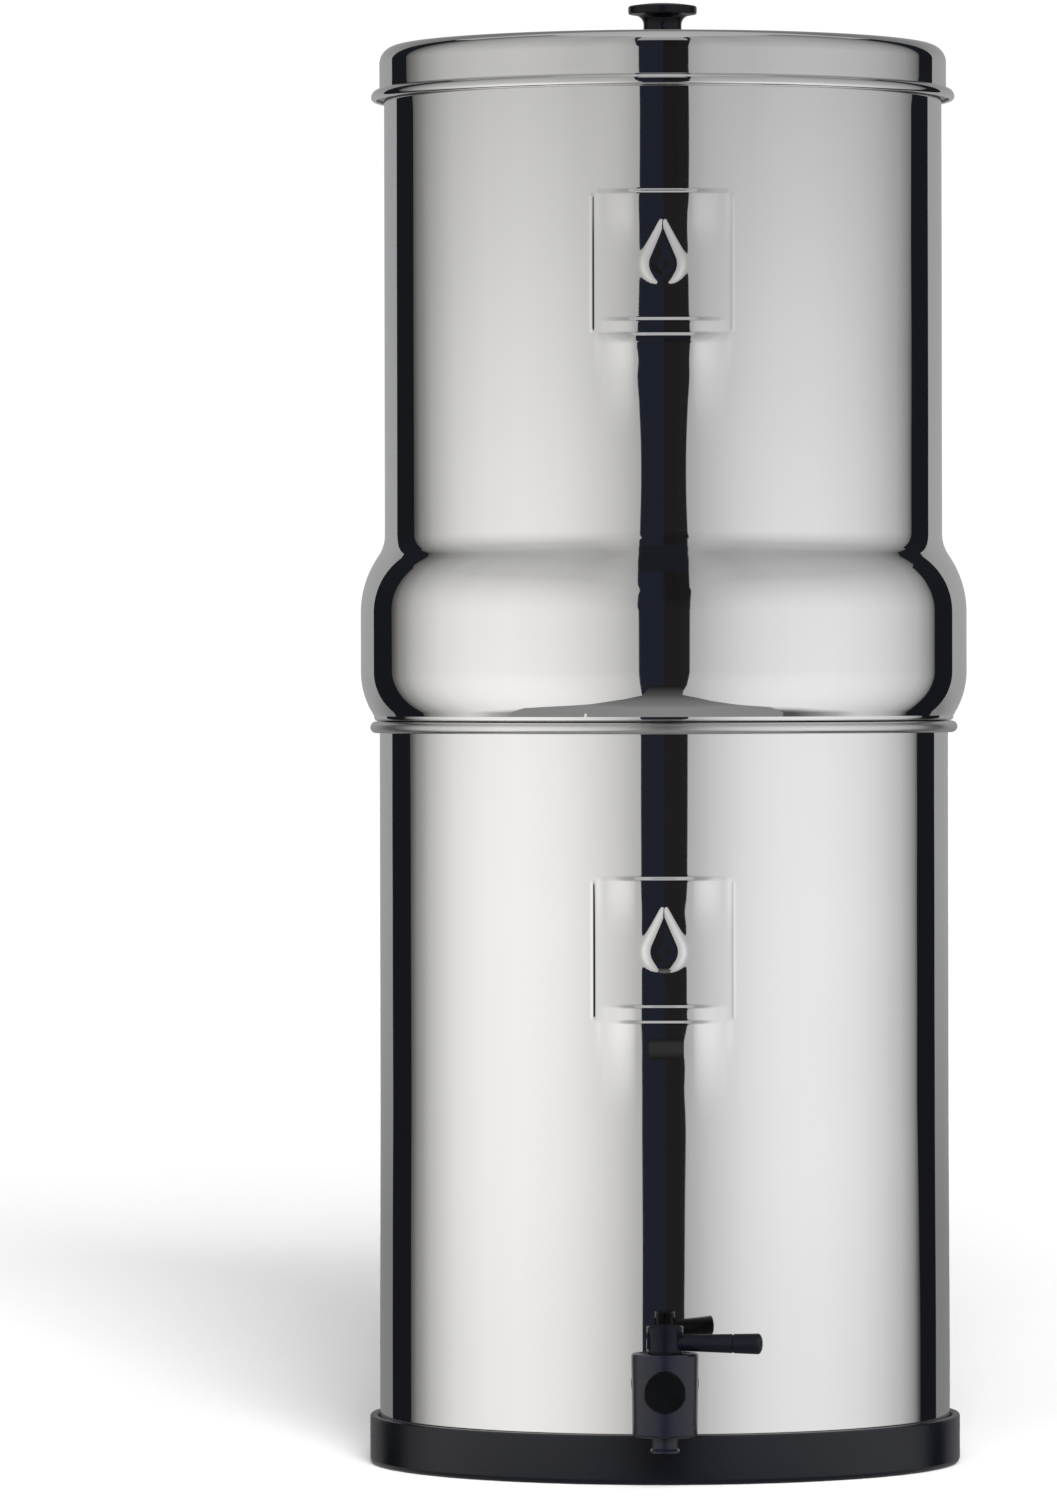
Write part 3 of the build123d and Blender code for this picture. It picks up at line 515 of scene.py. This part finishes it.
def vessel(name, outer_rows, inner_rows, phis, dent, floor_holes, wall_hole=None, centre_hole=None, side=1.0):
    """A pressed steel vessel from its mid line. The outside is to the right of the path with side 1."""
    mesh = Mesh()
    half = SHEET / 2

    def hole_cells(rows, sheet):
        if wall_hole is None:
            return None, None
        hz, hr, box_u, box_z = wall_hole
        cols = [j for j in range(len(phis)) if abs((phis[j] + math.pi) % (2 * math.pi) - math.pi) * 107.6 < box_u]
        in_front = sorted(cols, key=lambda j: (phis[j] + math.pi) % (2 * math.pi))
        z = rows[:, 1]
        picked = [i for i in range(len(z)) if abs(z[i] - hz) < box_z and rows[i, 0] > 100]
        return in_front, picked

    grids = []
    for which, rows, flip, mat in (("out", outer_rows, 1.0, 0), ("in", inner_rows, -1.0, 1)):
        cells = hole_cells(rows, half)
        skip = None
        if cells[0] is not None:
            cset, rset = set(cells[0][:-1]), set(cells[1][:-1])
            skip = lambda i, j, cset=cset, rset=rset: j in cset and i in rset
        grid, P, N = revolve(mesh, rows, phis, dent, flip * side, mat, skip, half)
        grids.append((grid, P, N, rows, cells, mat))

    (go, Po, No, ro, co, _), (gi, Pi, Ni, ri, ci, _) = grids
    # rounded free edge
    steps = 4
    prev_ring, prev_n = go[-1], No[-1]
    mid, span = (Po[-1] + Pi[-1]) / 2, (Po[-1] - Pi[-1]) / 2
    t = ro[-1]
    radial = np.stack([np.sin(phis), -np.cos(phis), 0 * phis], -1)
    ahead = radial * t[2] + np.array([0, 0, 1.0]) * t[3]
    size = np.linalg.norm(span, axis=1, keepdims=True)
    unit = span / size
    for k in range(1, steps):
        a = math.pi * k / steps
        d = unit * math.cos(a) + ahead * math.sin(a)
        start = mesh.add(mid + d * size)
        ring = start + np.arange(len(phis))
        bridge(mesh, prev_ring, ring, prev_n, d, 0)
        prev_ring, prev_n = ring, d
    bridge(mesh, prev_ring, gi[-1], prev_n, -unit, 0)

    # middle
    if centre_hole:
        inward = -radial
        bridge(mesh, go[0], gi[0], inward, inward, 0)
    else:
        z_out, z_in = float(Po[0, 0, 2]), float(Pi[0, 0, 2])
        loops_out = disc(mesh, go[0], Po[0][:, :2], z_out, side < 0, floor_holes, 0)
        loops_in = disc(mesh, gi[0], Pi[0][:, :2], z_in, side > 0, floor_holes, 1)
        for (cx, cy, radius), a, b in zip(floor_holes, loops_out, loops_in):
            k = len(a)
            inward = np.array([(-math.cos(2 * math.pi * q / k), -math.sin(2 * math.pi * q / k), 0.0) for q in range(k)])
            bridge(mesh, a, b, inward, inward, 0)

    # round hole through the wall
    if wall_hole is not None:
        hz, hr, _, _ = wall_hole
        k = 56
        circle = [(hr * math.cos(2 * math.pi * q / k), hz + hr * math.sin(2 * math.pi * q / k)) for q in range(k)]
        loops = []
        for grid, P, N, rows, (cols, picked), mat in grids:
            sign = 1.0 if mat == 0 else -1.0
            low, high = picked[0], picked[-1]
            if rows[low, 1] > rows[high, 1]:
                low, high = high, low
            step = 1 if high > low else -1
            edge = [(low, j) for j in cols] + [(i, cols[-1]) for i in range(low + step, high + step, step)]
            edge += [(high, j) for j in cols[::-1][1:]] + [(i, cols[0]) for i in range(high - step, low, -step)]
            xy = [(float(P[q][0]), float(P[q][2])) for q in edge]
            index = [int(grid[q]) for q in edge]
            normals = [N[q] for q in edge]
            n = len(edge)
            edges = [(q, (q + 1) % n) for q in range(n)] + [(n + q, n + (q + 1) % k) for q in range(k)]
            zs, rs = P[picked, cols[0], 2], np.hypot(P[picked, cols[0], 0], P[picked, cols[0], 1])
            order = np.argsort(zs)
            pts, ns = [], []
            for cx, cz in circle:
                rad = float(np.interp(cz, zs[order], rs[order]))
                y = -math.sqrt(rad * rad - cx * cx)
                pts.append((cx, y, cz))
                ns.append(np.array([cx / rad, y / rad, 0.0]) * sign)
            start = mesh.add(pts)
            loop = list(range(start, start + k))
            loops.append(loop)
            index += loop
            normals += ns
            out_v, _, out_f, orig_v, _, _ = delaunay_2d_cdt([Vector(p) for p in xy + circle], edges, [], 0, 1e-7)
            for tri in out_f:
                c = sum((out_v[i] for i in tri), Vector((0, 0))) / 3
                if math.hypot(c.x, c.y - hz) < hr * 0.998:
                    continue
                ids = [orig_v[i][0] for i in tri]
                if len(set(ids)) == 3:
                    mesh.face([index[i] for i in ids], [normals[i] for i in ids], mat)
        inward = np.array([(-math.cos(2 * math.pi * q / k), 0.0, -math.sin(2 * math.pi * q / k)) for q in range(k)])
        bridge(mesh, loops[0], loops[1], inward, inward, 0)
    return mesh.build(name, [STEEL, STEEL_IN])


# upper chamber: floor, spigot, shoulder, bulge, wall, inward curl at the top
UP_Z = 451.35
phis = columns(15.2, 0.30, 2.4)
up_points = [(84.0, 266.4), (105.3, 266.4), (105.3, 281.85), (109.5, 281.85), (109.5, 283.35), (114.49, 291.96), (114.49, 333.4), (105.3, 347.6), (105.3, 533.8), (102.3, 533.8), (102.3, 530.8)]
up_radii = [5.0, 1.0, 0.75, 0.4, 30.0, 37.0, 14.5, 1.4, 1.2]
candles = [(55 * math.cos(math.radians(45 + 90 * i)), 55 * math.sin(math.radians(45 + 90 * i)), 6.3) for i in range(4)]


def up_dent(u, z):
    wall = 1 / (1 + np.exp(-(z - 356.0) / 4.0)) / (1 + np.exp((z - 526.0) / 2.0))
    return panel_dent(UP_Z, 1.7, [(375.0, 0.13, 27.0), (413.0, -0.175, 14.0)])(u, z) * wall - 0.02 * (1 - wall) * 0


upper = vessel(
    "upper_chamber_steel",
    sheet_path(up_points, up_radii, fine_near(UP_Z, 29.5, 0.75, 3.0, 0.24), 3.0),
    sheet_path(up_points, up_radii, fine_near(UP_Z, 29.5, 1.9, 5.0), 9.0),
    phis, up_dent, candles,
)
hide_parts("upper_chamber")
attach(upper, "upper_unit")

# lower chamber: raised floor, foot, wall with the tap hole, rolled rim
LOW_Z = 197.65
low_points = [(60.0, 10.4), (86.0, 10.4), (91.0, 4.4), (107.7, 4.4), (107.7, 52.0), (107.4, 130.0), (107.4, 279.0)]
low_radii = [3.0, 3.0, 4.0, 3000.0, 3000.0]


def low_dent(u, z):
    wall = 1 / (1 + np.exp(-(z - 62.0) / 5.0)) / (1 + np.exp((z - 266.0) / 3.0))
    return panel_dent(LOW_Z, 4.3, [(95.0, 0.02, 20.0)])(u, z) * wall


low_out = sheet_path(low_points, low_radii, fine_near(LOW_Z, 29.5, 0.75, 3.0, 0.24), 6.0)
low_in = sheet_path(low_points, low_radii, fine_near(LOW_Z, 29.5, 1.9, 5.0), 9.0)
lower = vessel(
    "lower_chamber_steel",
    add_curl(low_out, 1.8, 296.0, 12.0),
    add_curl(low_in, 1.8, 296.0, 18.0),
    phis, low_dent, [], wall_hole=(38.0, 8.15, 12.2, 11.8),
)
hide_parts("lower_chamber")
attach(lower, "lower_unit")

# lid: flat top, rounded corner, skirt, flared and hemmed edge
lid_points = [(2.75, 536.6), (107.05, 536.6), (107.05, 520.1), (110.2, 520.1), (110.2, 516.6), (109.0, 516.6)]
lid_radii = [6.2, 0.6, 2.5, 0.95]


def lid_dent(u, z):
    wall = 1 / (1 + np.exp(-(z - 523.0) / 0.5)) / (1 + np.exp((z - 529.5) / 0.8))
    return (ripple(u, z, 8.1) - 0.02) * wall


lid = vessel(
    "lid_steel",
    sheet_path(lid_points, lid_radii, lambda r, z: 1.2 if z < 535 else 6.0, 4.0),
    sheet_path(lid_points, lid_radii, lambda r, z: 2.4 if z < 535 else 9.0, 9.0),
    columns(0.9, 1.8, 1.8), lid_dent, [], centre_hole=True, side=-1.0,
)
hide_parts("lid")
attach(lid, "lid_unit")

# ------------------------------------------------------------------ carried-over CAD pieces
looks = {
    "base_ring": RING_BLACK, "lid_knob": KNOB_BLACK, "knob_washer": FASTENER, "knob_screw": FASTENER,
    "candle_washers": SEAL, "candle_wing_nuts": PALE, "tap_body": TAP_BLACK, "tap_front_cap": CAP_BLACK,
    "tap_outer_washer": WASHER_BLACK, "tap_inner_washer": WASHER_BLACK, "tap_lock_nut": NUT_BLACK,
    "tap_bonnet": TAP_BLACK, "tap_valve_plug": NUT_BLACK, "tap_o_rings": WASHER_BLACK, "tap_lever": LEVER_BLACK,
}
for i in range(1, 5):
    looks[f"candle_{i}_ceramic_shell"] = CERAMIC
    looks[f"candle_{i}_carbon_core"] = CARBON
    looks[f"candle_{i}_base"] = PALE
for name, material in looks.items():
    o = nodes[name]
    if len(o.material_slots) == 0:
        o.data.materials.append(material)
    for slot in o.material_slots:
        slot.material = material


# ------------------------------------------------------------------ stage
def quad(name, pts, material):
    mesh = bpy.data.meshes.new(name)
    mesh.from_pydata(pts, [], [(0, 1, 2, 3)])
    mesh.materials.append(material)
    o = bpy.data.objects.new(name, mesh)
    scene.collection.objects.link(o)
    return o


def reflected_only(o):
    """A studio card that is seen only in gloss."""
    o.visible_camera = False
    o.visible_diffuse = False
    o.visible_transmission = False
    o.visible_volume_scatter = False
    o.visible_shadow = False


def glow(g, color):
    e = g.node("ShaderNodeEmission")
    g.put(e.inputs[0], color)
    g.tree.links.new(e.outputs[0], g.out.inputs[0])
    return g.mat


def world_xyz(g):
    geo = g.node("ShaderNodeNewGeometry")
    sep = g.node("ShaderNodeSeparateXYZ")
    g.put(sep.inputs[0], geo.outputs["Position"])
    return sep.outputs


def ramp_of(g, value, low, high, stops):
    """A smooth curve through (value, brightness) stops, as a grey ramp."""
    n = g.node("ShaderNodeValToRGB")
    n.color_ramp.interpolation = "B_SPLINE" if len(stops) > 24 else "LINEAR"
    while len(n.color_ramp.elements) < len(stops):
        n.color_ramp.elements.new(0.5)
    for e, (p, v) in zip(n.color_ramp.elements, stops):
        e.position = (p - low) / (high - low)
        e.color = (v, v, v, 1.0)
    g.put(n.inputs[0], g.range(value, low, high, 0.0, 1.0))
    return n.outputs[0]


UPWARD = [
    (-0.30, 0.06), (-0.13, 0.10), (-0.095, 0.30), (-0.06, 0.70), (-0.035, 0.93), (0.04, 0.955), (0.10, 0.99), (0.20, 1.0), (0.26, 0.98), (0.385, 0.86), (0.425, 0.80), (0.525, 0.64),
    (0.56, 0.575), (0.80, 0.46), (1.10, 0.40), (1.60, 0.37),
]


def panel_light(name, stops, shift, tint):
    """Diffusion panel: its brightness follows the direction from the middle of the set, and falls towards its top."""
    g = Graph(name)
    x, y, z = world_xyz(g)
    theta = g.math("ARCTAN2", g.math("ABSOLUTE", x), g.math("MULTIPLY", y, -1.0))
    lag = g.math("MULTIPLY", ramp_of(g, z, 0.30, 0.70, [(a, b / 8.0) for a, b in shift]), 8.0)
    theta = g.math("SUBTRACT", g.math("MULTIPLY", theta, 180.0 / math.pi), g.math("MULTIPLY", lag, g.range(theta, 1.05, 1.55, 0.0, 1.0)))
    across = ramp_of(g, theta, 0.0, 130.0, stops)
    upward = ramp_of(g, z, -0.3, 1.7, UPWARD)
    near_slit = g.math("MULTIPLY", g.range(z, 0.35, 0.60, 0.0, 0.24, True), g.range(theta, 8.0, 34.0, 1.0, 0.0, True))
    value = g.math("MULTIPLY", g.math("MULTIPLY", across, 1.2), g.math("ADD", upward, near_slit))
    color = g.node("ShaderNodeVectorMath", operation="SCALE")
    color.inputs[0].default_value = tint
    g.put(color.inputs["Scale"], value)
    return glow(g, color.outputs[0])


def scaled(stops):
    return [(t, v / 1.2) for t, v in stops]


LEFT = panel_light("panel_left", scaled([
    (7.0, 0.53), (10.0, 0.57), (12.0, 0.62), (15.0, 0.70), (19.0, 0.78), (23.0, 0.85), (30.0, 0.955), (37.0, 1.03),
    (45.0, 1.07), (53.0, 1.10), (61.0, 1.08), (68.0, 1.06), (75.0, 1.00), (83.0, 0.92), (92.0, 0.73), (98.5, 0.58),
    (104.5, 0.37), (107.8, 0.29), (110.6, 0.17), (114.5, 0.05),
]), [(0.34, 0.0), (0.43, 1.8), (0.47, 2.6), (0.515, 3.8), (0.54, 4.6), (0.552, 5.4), (0.65, 5.4)], (1.0, 0.998, 0.988))
RIGHT = panel_light("panel_right", scaled([
    (7.0, 0.48), (9.0, 0.52), (13.0, 0.60), (16.0, 0.68), (23.0, 0.80), (28.0, 0.88), (34.0, 0.94), (42.0, 0.99),
    (50.0, 1.01), (58.0, 1.01), (66.0, 0.975), (76.0, 0.92), (87.0, 0.80), (93.0, 0.71), (100.0, 0.60), (103.0, 0.52),
    (108.0, 0.38), (110.5, 0.27), (113.5, 0.08),
]), [(0.34, 0.0), (0.43, 0.5), (0.456, 1.5), (0.472, 1.9), (0.515, 3.0), (0.54, 3.8), (0.552, 4.6), (0.65, 4.6)], (0.990, 1.0, 1.018))

# the panels stand in a horseshoe round the set and leave a dark slit at the camera and a gap on either side
PLAN = [(0.157, -0.454), (0.207, -0.372), (0.277, -0.305), (0.359, -0.220), (0.43, -0.08), (0.45, 0.05)]
LEVELS = [
    -0.30, 0.04, 0.12, 0.22, 0.32, 0.36, 0.42, 0.46, 0.495, 0.515, 0.525, 0.535, 0.552,
    0.56, 0.58, 0.60, 0.66, 0.735, 0.80, 0.86, 0.95, 1.06, 1.16, 1.26, 1.66,
]


def panel_wall(name, side, edge_x, far_y, material):
    """edge_x: (z, x) of the edge at the slit, which wavers a little with height; far_y: heights and y of the far edge."""
    zs, xs = [p[0] for p in edge_x], [p[1] for p in edge_x]
    verts, faces = [], []
    for z in LEVELS:
        x0 = float(np.interp(z, zs, xs))
        far = (0.440, float(np.interp(z, *far_y)))
        for x, y in [(x0, -0.568 + (x0 - 0.092) * 1.754)] + PLAN + [far]:
            verts.append((side * x, y, z))
    n = len(PLAN) + 2
    for i in range(len(LEVELS) - 1):
        for j in range(n - 1):
            faces.append((i * n + j, i * n + j + 1, (i + 1) * n + j + 1, (i + 1) * n + j))
    mesh = bpy.data.meshes.new(name)
    mesh.from_pydata(verts, [], faces)
    mesh.materials.append(material)
    o = bpy.data.objects.new(name, mesh)
    scene.collection.objects.link(o)
    reflected_only(o)


panel_wall("light_panel_left", -1.0, [
    (0.04, 0.0825), (0.22, 0.0838), (0.32, 0.0850), (0.36, 0.0885), (0.46, 0.0885), (0.495, 0.0872), (0.515, 0.0855), (0.535, 0.0850),
    (0.56, 0.0880), (0.60, 0.0930), (0.66, 0.0960), (0.735, 0.0990), (0.80, 0.1020), (0.86, 0.1055), (0.95, 0.1110),
    (1.06, 0.1180), (1.16, 0.1240), (1.26, 0.1300), (1.66, 0.1360),
], ([0.22, 0.36, 0.535, 0.552], [0.187, 0.199, 0.201, 0.222]), LEFT)
panel_wall("light_panel_right", 1.0, [
    (0.04, 0.0740), (0.12, 0.0821), (0.22, 0.0858), (0.36, 0.0905), (0.42, 0.0912), (0.46, 0.0935), (0.495, 0.0948), (0.515, 0.0960),
    (0.535, 0.0955), (0.56, 0.0930), (0.60, 0.0940), (0.66, 0.0960), (0.735, 0.0990), (0.80, 0.1020), (0.86, 0.1055),
    (0.95, 0.1110), (1.06, 0.1180), (1.16, 0.1240), (1.26, 0.1300), (1.66, 0.1360),
], ([0.04, 0.12, 0.36, 0.535, 0.552], [0.200, 0.183, 0.187, 0.188, 0.222]), RIGHT)

# ceiling cloth, over the set
g = Graph("ceiling_cloth")
x, y, z = world_xyz(g)
value = g.range(y, -0.68, 0.2, 0.54, 0.48, True)
mat = glow(g, g.combine(value, g.math("MULTIPLY", value, 1.01), g.math("MULTIPLY", value, 1.03)))
reflected_only(quad("ceiling", [(-0.9, -0.61, 1.7), (0.9, -0.61, 1.7), (0.9, 0.95, 1.7), (-0.9, 0.95, 1.7)], mat))

# backdrop behind the object
g = Graph("backdrop_cloth")
x, y, z = world_xyz(g)
value = ramp_of(g, z, -0.3, 1.7, [(-0.30, 0.22), (0.05, 0.24), (0.12, 0.30), (0.20, 0.36), (0.38, 0.40), (0.56, 0.38), (0.90, 0.24), (1.30, 0.19), (1.65, 0.22)])
mat = glow(g, g.combine(value, g.math("MULTIPLY", value, 1.01), g.math("MULTIPLY", value, 1.03)))
reflected_only(quad("backdrop", [(-0.555, 0.6, -0.3), (0.582, 0.6, -0.3), (0.60, 0.6, 1.65), (-0.565, 0.6, 1.65)], mat))

# small card over the front of the lid
g = Graph("lid_card")
x, y, z = world_xyz(g)
value = g.range(z, 0.62, 0.75, 0.36, 0.46, True)
mat = glow(g, g.combine(value, g.math("MULTIPLY", value, 1.03), g.math("MULTIPLY", value, 1.08)))
reflected_only(quad("lid_card", [(-0.027, -0.187, 0.612), (0.027, -0.187, 0.612), (0.027, -0.187, 0.752), (-0.027, -0.187, 0.752)], mat))

# table as the steel sees it: a pale board whose front half lies in shade
g = Graph("table_seen_in_gloss")
x, y, z = world_xyz(g)
value = ramp_of(g, y, -1.0, 0.3, [(-1.0, 0.010), (-0.95, 0.014), (-0.82, 0.034), (-0.70, 0.060), (-0.60, 0.085), (-0.48, 0.165), (-0.40, 0.21), (-0.34, 0.28), (0.25, 0.30)])
mat = glow(g, g.combine(value, value, g.math("MULTIPLY", value, 1.01)))
board = [
    (-0.082, -0.98), (0.097, -0.98), (0.097, -0.575), (0.150, -0.445), (0.205, -0.360), (0.274, -0.283), (0.264, -0.20), (0.238, -0.08),
    (0.19, 0.06), (0.14, 0.20), (-0.14, 0.20), (-0.22, 0.08), (-0.30, -0.03), (-0.345, -0.15), (-0.352, -0.213),
    (-0.266, -0.334), (-0.190, -0.415), (-0.130, -0.490), (-0.082, -0.60),
]
mesh = bpy.data.meshes.new("table_gloss")
mesh.from_pydata([(px, py, -0.03) for px, py in board] + [(0.0, -0.3, -0.03)], [], [(i, (i + 1) % len(board), len(board)) for i in range(len(board))])
mesh.materials.append(mat)
table = bpy.data.objects.new("table_gloss", mesh)
scene.collection.objects.link(table)
reflected_only(table)

# dark room beyond the cards, with the camera's side in front
g = Graph("room_front")
x, y, z = world_xyz(g)
bands = g.ramp(g.range(x, -0.5, 0.5, 0.0, 1.0), [
    (0.0, (0.016, 0.019, 0.029)), (0.500, (0.016, 0.019, 0.029)), (0.510, (0.013, 0.0115, 0.0115)),
    (0.675, (0.013, 0.0115, 0.0115)), (0.690, (0.0135, 0.0135, 0.015)), (1.0, (0.0135, 0.0135, 0.015)),
])
low_right = g.math("MULTIPLY", g.range(z, 0.35, 0.75, 0.004, 0.0, True), g.range(x, -0.01, 0.01, 0.0, 1.0))
bands = g.mix(1.0, bands, g.combine(low_right, low_right, low_right), "ADD")
mat = glow(g, bands)
reflected_only(quad("room_front", [(-1.6, -1.7, -1.0), (1.6, -1.7, -1.0), (1.6, -1.7, 2.0), (-1.6, -1.7, 2.0)], mat))

g = Graph("room_dark")
x, y, z = world_xyz(g)
value = g.range(z, 0.0, 2.0, 0.009, 0.013)
mat = glow(g, g.combine(value, g.math("MULTIPLY", value, 1.15), g.math("MULTIPLY", value, 1.5)))
for name, pts in {
    "room_left": [(-1.6, -1.7, -1.0), (-1.6, 1.6, -1.0), (-1.6, 1.6, 2.0), (-1.6, -1.7, 2.0)],
    "room_right": [(1.6, -1.7, -1.0), (1.6, 1.6, -1.0), (1.6, 1.6, 2.0), (1.6, -1.7, 2.0)],
    "room_back": [(-1.6, 1.6, -1.0), (1.6, 1.6, -1.0), (1.6, 1.6, 2.0), (-1.6, 1.6, 2.0)],
    "room_top": [(-1.6, -1.7, 2.0), (1.6, -1.7, 2.0), (1.6, 1.6, 2.0), (-1.6, 1.6, 2.0)],
    "room_floor": [(-1.6, -1.7, -1.0), (1.6, -1.7, -1.0), (1.6, 1.6, -1.0), (-1.6, 1.6, -1.0)],
}.items():
    reflected_only(quad(name, pts, mat))

# floor
g = Graph("pale_floor")
obj, x, y, z = g.position()
tone = g.mix(g.noise(obj, 3.0, 2.0), (0.985, 0.985, 0.985), (0.975, 0.975, 0.975))
g.shader(Base_Color=tone, Roughness=0.95, Specular_IOR_Level=0.0)
floor = quad("floor", [(-40, -40, 0), (40, -40, 0), (40, 60, 0), (-40, 60, 0)], g.mat)
floor.visible_glossy = False

# soft key from the front, a little to the right, with a weaker fill from its left, and two faint ones from the sides
for name, energy, wide, turn_deg, height_deg in (("soft_key", 8.0, 21.0, 5.5, 15.0), ("soft_fill", 1.7, 24.0, -6.0, 15.0), ("side_right", 0.55, 40.0, 28.0, 34.0), ("side_left", 0.4, 40.0, -28.0, 32.0)):
    sun_data = bpy.data.lights.new(name, "SUN")
    sun_data.energy = energy
    sun_data.angle = math.radians(wide)
    sun = bpy.data.objects.new(name, sun_data)
    scene.collection.objects.link(sun)
    az, el = math.radians(turn_deg), math.radians(height_deg)
    toward = Vector((math.sin(az) * math.cos(el), -math.cos(az) * math.cos(el), math.sin(el)))
    sun.rotation_euler = toward.to_track_quat("Z", "Y").to_euler()
    sun.visible_glossy = False

world = bpy.data.worlds.new("world")
scene.world = world
world.use_nodes = True
wt = world.node_tree
wt.nodes.clear()
w_out = wt.nodes.new("ShaderNodeOutputWorld")
w_bg = wt.nodes.new("ShaderNodeBackground")
w_bg.inputs[0].default_value = (1.0, 1.0, 1.0, 1.0)
w_path = wt.nodes.new("ShaderNodeLightPath")
w_mix = wt.nodes.new("ShaderNodeMapRange")
w_mix.inputs["To Min"].default_value = 0.12
w_mix.inputs["To Max"].default_value = 1.02
wt.links.new(w_path.outputs["Is Camera Ray"], w_mix.inputs["Value"])
wt.links.new(w_mix.outputs[0], w_bg.inputs[1])
wt.links.new(w_bg.outputs[0], w_out.inputs[0])

bpy.context.view_layer.update()
